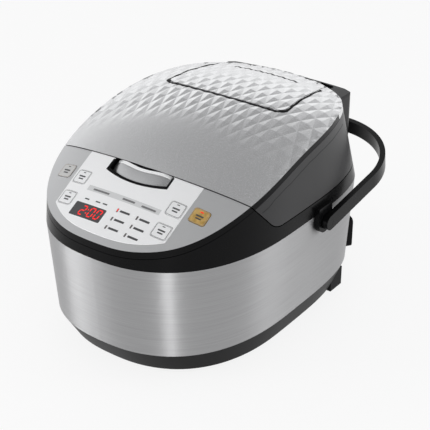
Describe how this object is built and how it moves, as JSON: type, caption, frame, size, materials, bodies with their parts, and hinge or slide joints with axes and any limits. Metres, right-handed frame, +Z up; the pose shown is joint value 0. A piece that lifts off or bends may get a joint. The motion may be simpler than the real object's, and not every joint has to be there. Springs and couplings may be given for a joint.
{
  "type": "rice cooker",
  "caption": "Electric rice cooker with a quilted silver hinged lid, brushed steel body, sloping key panel with a display, removable pot and a folding carry handle.",
  "frame": {"origin": "middle of the footprint, on the surface that the feet stand on", "axes": "+Z up, the control panel faces -Y, +X to the right of someone facing the cooker"},
  "size_m": [0.2946, 0.4128, 0.2462],
  "materials": {
    "brushed_steel": "brushed round the body",
    "silver_paint": "silver, satin gloss",
    "light_film": "pale printed film",
    "black_gloss": "dark gloss moulding",
    "black_satin": "dark satin moulding",
    "grey_key": "grey key",
    "gold_key": "gold key",
    "display": "smoked window",
    "lamp": "lamp bar",
    "aluminium": "satin",
    "pot_coat": "non-stick coat inside",
    "steel": "zinc plated",
    "rubber": "matt",
    "white_seal": "silicone",
    "board": "circuit board",
    "brass": "plain"
  },
  "bodies": {
    "cooker": {"base_tray": "black_satin", "front_feet": "rubber", "rear_feet": "black_satin", "steel_wrap": "brushed_steel", "upper_frame": "black_gloss", "control_panel": "silver_paint", "panel_film": "light_film", "display_window": "display", "display_module": "black_satin", "control_board": "board", "key_switches": "black_satin", "function_lamps": "lamp", "power_board": "board", "board_posts": "black_satin", "inner_tub": "steel", "heating_plate": "aluminium", "plate_posts": "steel", "sensor_guide": "black_satin", "inner_pot": "pot_coat", "power_inlet": "black_satin", "inlet_pins": "brass", "hinge_housing": "black_gloss", "hinge_pin": "steel", "handle_pins": "steel"},
    "lid": {"lid_shell": "black_gloss", "lid_top_panel": "silver_paint", "lid_liner": "black_satin", "inner_lid": "aluminium", "pot_seal": "white_seal", "steam_cup": "black_satin"},
    "handle": {"carry_handle": "black_gloss"},
    "latch": {"latch_button": "silver_paint"},
    "sensor": {"pot_sensor": "aluminium"},
    "key_upper_left": {"key_upper_left": "grey_key"},
    "key_upper_right": {"key_upper_right": "grey_key"},
    "key_lower_left": {"key_lower_left": "grey_key"},
    "key_lower_right": {"key_lower_right": "grey_key"},
    "key_cancel": {"key_cancel": "grey_key"},
    "key_start": {"key_start": "gold_key"},
    "steam_cover": {"steam_cover": "silver_paint"}
  },
  "joints": [
    {"name": "lid_hinge", "type": "hinge", "parent": "cooker", "child": "lid", "pos_m": [0, 0.1346, 0.207], "axis": [-1, 0, 0], "range_deg": [0, 80]},
    {"name": "handle_swing", "type": "hinge", "parent": "cooker", "child": "handle", "pos_m": [0, 0.0166, 0.126], "axis": [1, 0, 0], "range_deg": [0, 81]},
    {"name": "latch_press", "type": "slide", "parent": "cooker", "child": "latch", "axis": [0, 0.5094, -0.8605], "range_m": [0, 0.0025], "stiffness_N_per_m": 900},
    {"name": "cover_lift", "type": "slide", "parent": "lid", "child": "steam_cover", "axis": [0, 0, 1], "range_m": [0, 0.03]},
    {"name": "sensor_plunge", "type": "slide", "parent": "cooker", "child": "sensor", "axis": [0, 0, -1], "range_m": [0, 0.003], "stiffness_N_per_m": 600},
    {"name": "key_upper_left_press", "type": "slide", "parent": "cooker", "child": "key_upper_left", "axis": [0, 0.5094, -0.8605], "range_m": [0, 0.0004], "stiffness_N_per_m": 900},
    {"name": "key_upper_right_press", "type": "slide", "parent": "cooker", "child": "key_upper_right", "axis": [0, 0.5094, -0.8605], "range_m": [0, 0.0004], "stiffness_N_per_m": 900},
    {"name": "key_lower_left_press", "type": "slide", "parent": "cooker", "child": "key_lower_left", "axis": [0, 0.5094, -0.8605], "range_m": [0, 0.0004], "stiffness_N_per_m": 900},
    {"name": "key_lower_right_press", "type": "slide", "parent": "cooker", "child": "key_lower_right", "axis": [0, 0.5094, -0.8605], "range_m": [0, 0.0004], "stiffness_N_per_m": 900},
    {"name": "key_cancel_press", "type": "slide", "parent": "cooker", "child": "key_cancel", "axis": [0, 0.5094, -0.8605], "range_m": [0, 0.0004], "stiffness_N_per_m": 900},
    {"name": "key_start_press", "type": "slide", "parent": "cooker", "child": "key_start", "axis": [0, 0.5094, -0.8605], "range_m": [0, 0.0004], "stiffness_N_per_m": 900}
  ]
}
